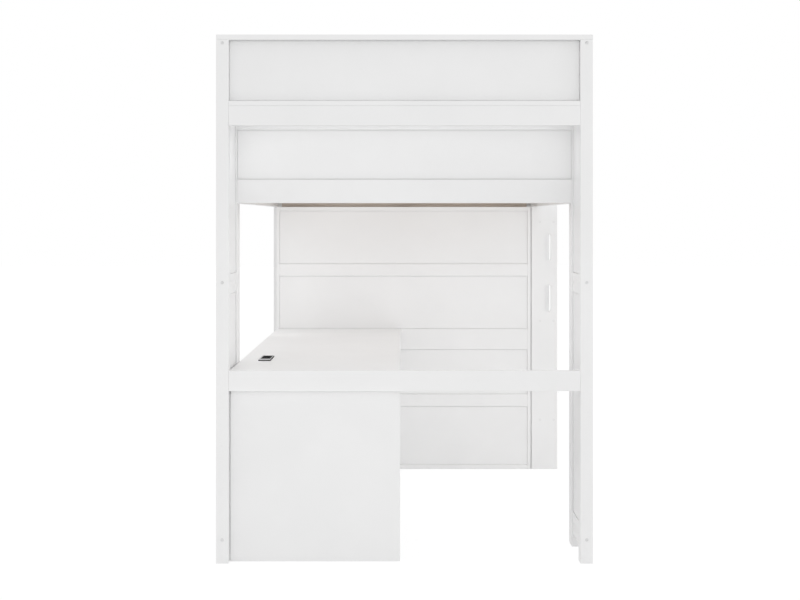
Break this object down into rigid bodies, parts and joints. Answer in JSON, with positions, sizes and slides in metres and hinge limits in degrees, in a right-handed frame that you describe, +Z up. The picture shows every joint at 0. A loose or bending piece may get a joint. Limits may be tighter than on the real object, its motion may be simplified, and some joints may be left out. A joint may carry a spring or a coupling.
{
  "type": "cabin bed",
  "caption": "White high cabin bed: slatted base with guard rails, shelf unit at the head, long desk below, open cabinet under the foot end and ladder on the right side.",
  "frame": {"origin": "on the floor, under the middle of the whole outline", "axes": "+X to the right seen from the head end, towards the ladder; +Y from the head to the foot; +Z up"},
  "size_m": [1.532, 2.347, 2.032],
  "materials": {
    "white_paint": "satin white paint on board",
    "natural_wood": "planed, unfinished",
    "zinc": "zinc plated",
    "black_plastic": "fine texture",
    "brushed_aluminium": "brushed"
  },
  "bodies": {
    "root": {"head_post_left": "white_paint", "head_post_right": "white_paint", "head_stile_left": "white_paint", "head_stile_right": "white_paint", "head_side_rails_left": "white_paint", "head_side_rails_right": "white_paint", "head_side_panels_left": "white_paint", "head_side_panels_right": "white_paint", "head_cap": "white_paint", "head_panel": "white_paint", "head_shelf": "white_paint", "head_apron": "white_paint", "head_cross_rail": "white_paint", "headboard_bottom_rail": "white_paint", "headboard_top_rail": "white_paint", "headboard_panel": "white_paint", "bed_head_post_left": "white_paint", "bed_head_post_right": "white_paint", "bed_foot_post_left": "white_paint", "bed_foot_post_right": "white_paint", "side_rail_left": "white_paint", "side_rail_right": "white_paint", "head_end_rail": "white_paint", "foot_end_rail": "white_paint", "foot_top_rail": "white_paint", "foot_panel": "white_paint", "guard_rail_left": "white_paint", "guard_rail_right": "white_paint", "guard_stile_left": "white_paint", "guard_stiles_right": "white_paint", "guard_panels_left": "white_paint", "guard_panels_right": "white_paint", "side_ledgers": "natural_wood", "end_ledgers": "natural_wood", "centre_beam": "natural_wood", "slats": "natural_wood", "desk_top": "white_paint", "desk_end_panel": "white_paint", "desk_back_rail": "white_paint", "desk_front_rail": "white_paint", "desk_cleat": "white_paint", "power_housing": "black_plastic", "power_trim": "brushed_aluminium", "power_face": "black_plastic", "cabinet_side_left": "white_paint", "cabinet_side_right": "white_paint", "cabinet_top": "white_paint", "cabinet_bottom": "white_paint", "cabinet_divider": "white_paint", "cabinet_back_rails": "white_paint", "cabinet_back_panels": "white_paint", "cabinet_shelves_left": "white_paint", "cabinet_shelves_right": "white_paint", "ladder_side_near": "white_paint", "ladder_side_far": "white_paint", "ladder_treads": "white_paint", "connector_bolts": "zinc", "barrel_nuts": "zinc"}
  },
  "joints": []
}
